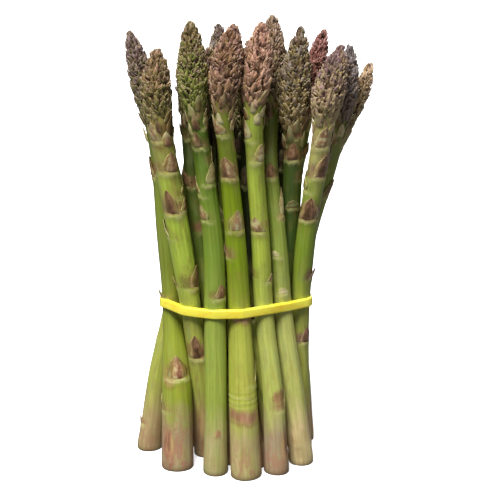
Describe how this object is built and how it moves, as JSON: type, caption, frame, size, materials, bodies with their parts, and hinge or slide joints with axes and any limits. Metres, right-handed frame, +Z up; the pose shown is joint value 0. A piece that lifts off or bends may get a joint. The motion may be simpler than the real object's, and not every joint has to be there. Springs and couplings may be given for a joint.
{
  "type": "bundle of asparagus",
  "caption": "Tied bunch of fresh green asparagus with purple-tinged tips, standing upright on its cut ends and held at the waist by a yellow rubber band.",
  "frame": {"origin": "centre of the bounding box at floor level, under the middle of the bunch, on the plane of the cut ends", "axes": "+Z up along the spears towards their tips, -Y towards the front of the bunch as pictured, +X to the right seen from the front"},
  "size_m": [0.1182, 0.0706, 0.232],
  "materials": {
    "spear_skin": "satin",
    "band_rubber": "satin"
  },
  "bodies": {
    "root": {"spear_01": "spear_skin", "spear_02": "spear_skin", "spear_03": "spear_skin", "spear_04": "spear_skin", "spear_05": "spear_skin", "spear_06": "spear_skin", "spear_07": "spear_skin", "spear_08": "spear_skin", "spear_09": "spear_skin", "spear_10": "spear_skin", "spear_11": "spear_skin", "spear_12": "spear_skin", "spear_13": "spear_skin", "spear_14": "spear_skin", "spear_15": "spear_skin", "spear_16": "spear_skin", "spear_17": "spear_skin", "spear_18": "spear_skin", "spear_19": "spear_skin", "spear_20": "spear_skin", "spear_21": "spear_skin", "spear_22": "spear_skin", "spear_23": "spear_skin", "spear_24": "spear_skin", "rubber_band": "band_rubber"}
  },
  "joints": []
}
